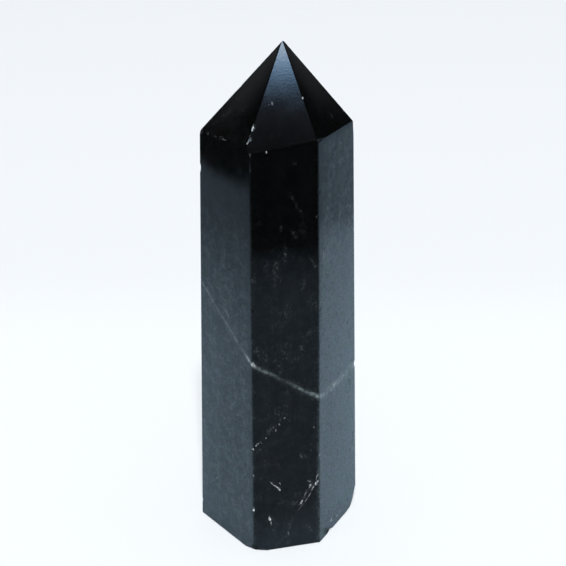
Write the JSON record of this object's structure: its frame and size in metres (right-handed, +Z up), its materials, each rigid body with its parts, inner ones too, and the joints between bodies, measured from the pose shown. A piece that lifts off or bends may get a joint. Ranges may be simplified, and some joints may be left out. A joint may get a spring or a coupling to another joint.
{
  "type": "morion quartz point",
  "caption": "Polished standing point of nearly black smoky quartz, with long prism faces under a pointed faceted top, a flat foot, chipped edges and a pale healed crack.",
  "frame": {"origin": "middle of the flat foot, on the surface that the stone stands on", "axes": "+Z up along the stone's length to the tip, -Y towards the viewer of the picture, +X to the viewer's right"},
  "size_m": [0.0272, 0.0242, 0.0855],
  "materials": {
    "smoky_quartz": "polished, nearly black, glassy, with faint scratches, pale flecks and a pale healed crack"
  },
  "bodies": {
    "root": {"quartz_point": "smoky_quartz"}
  },
  "joints": []
}
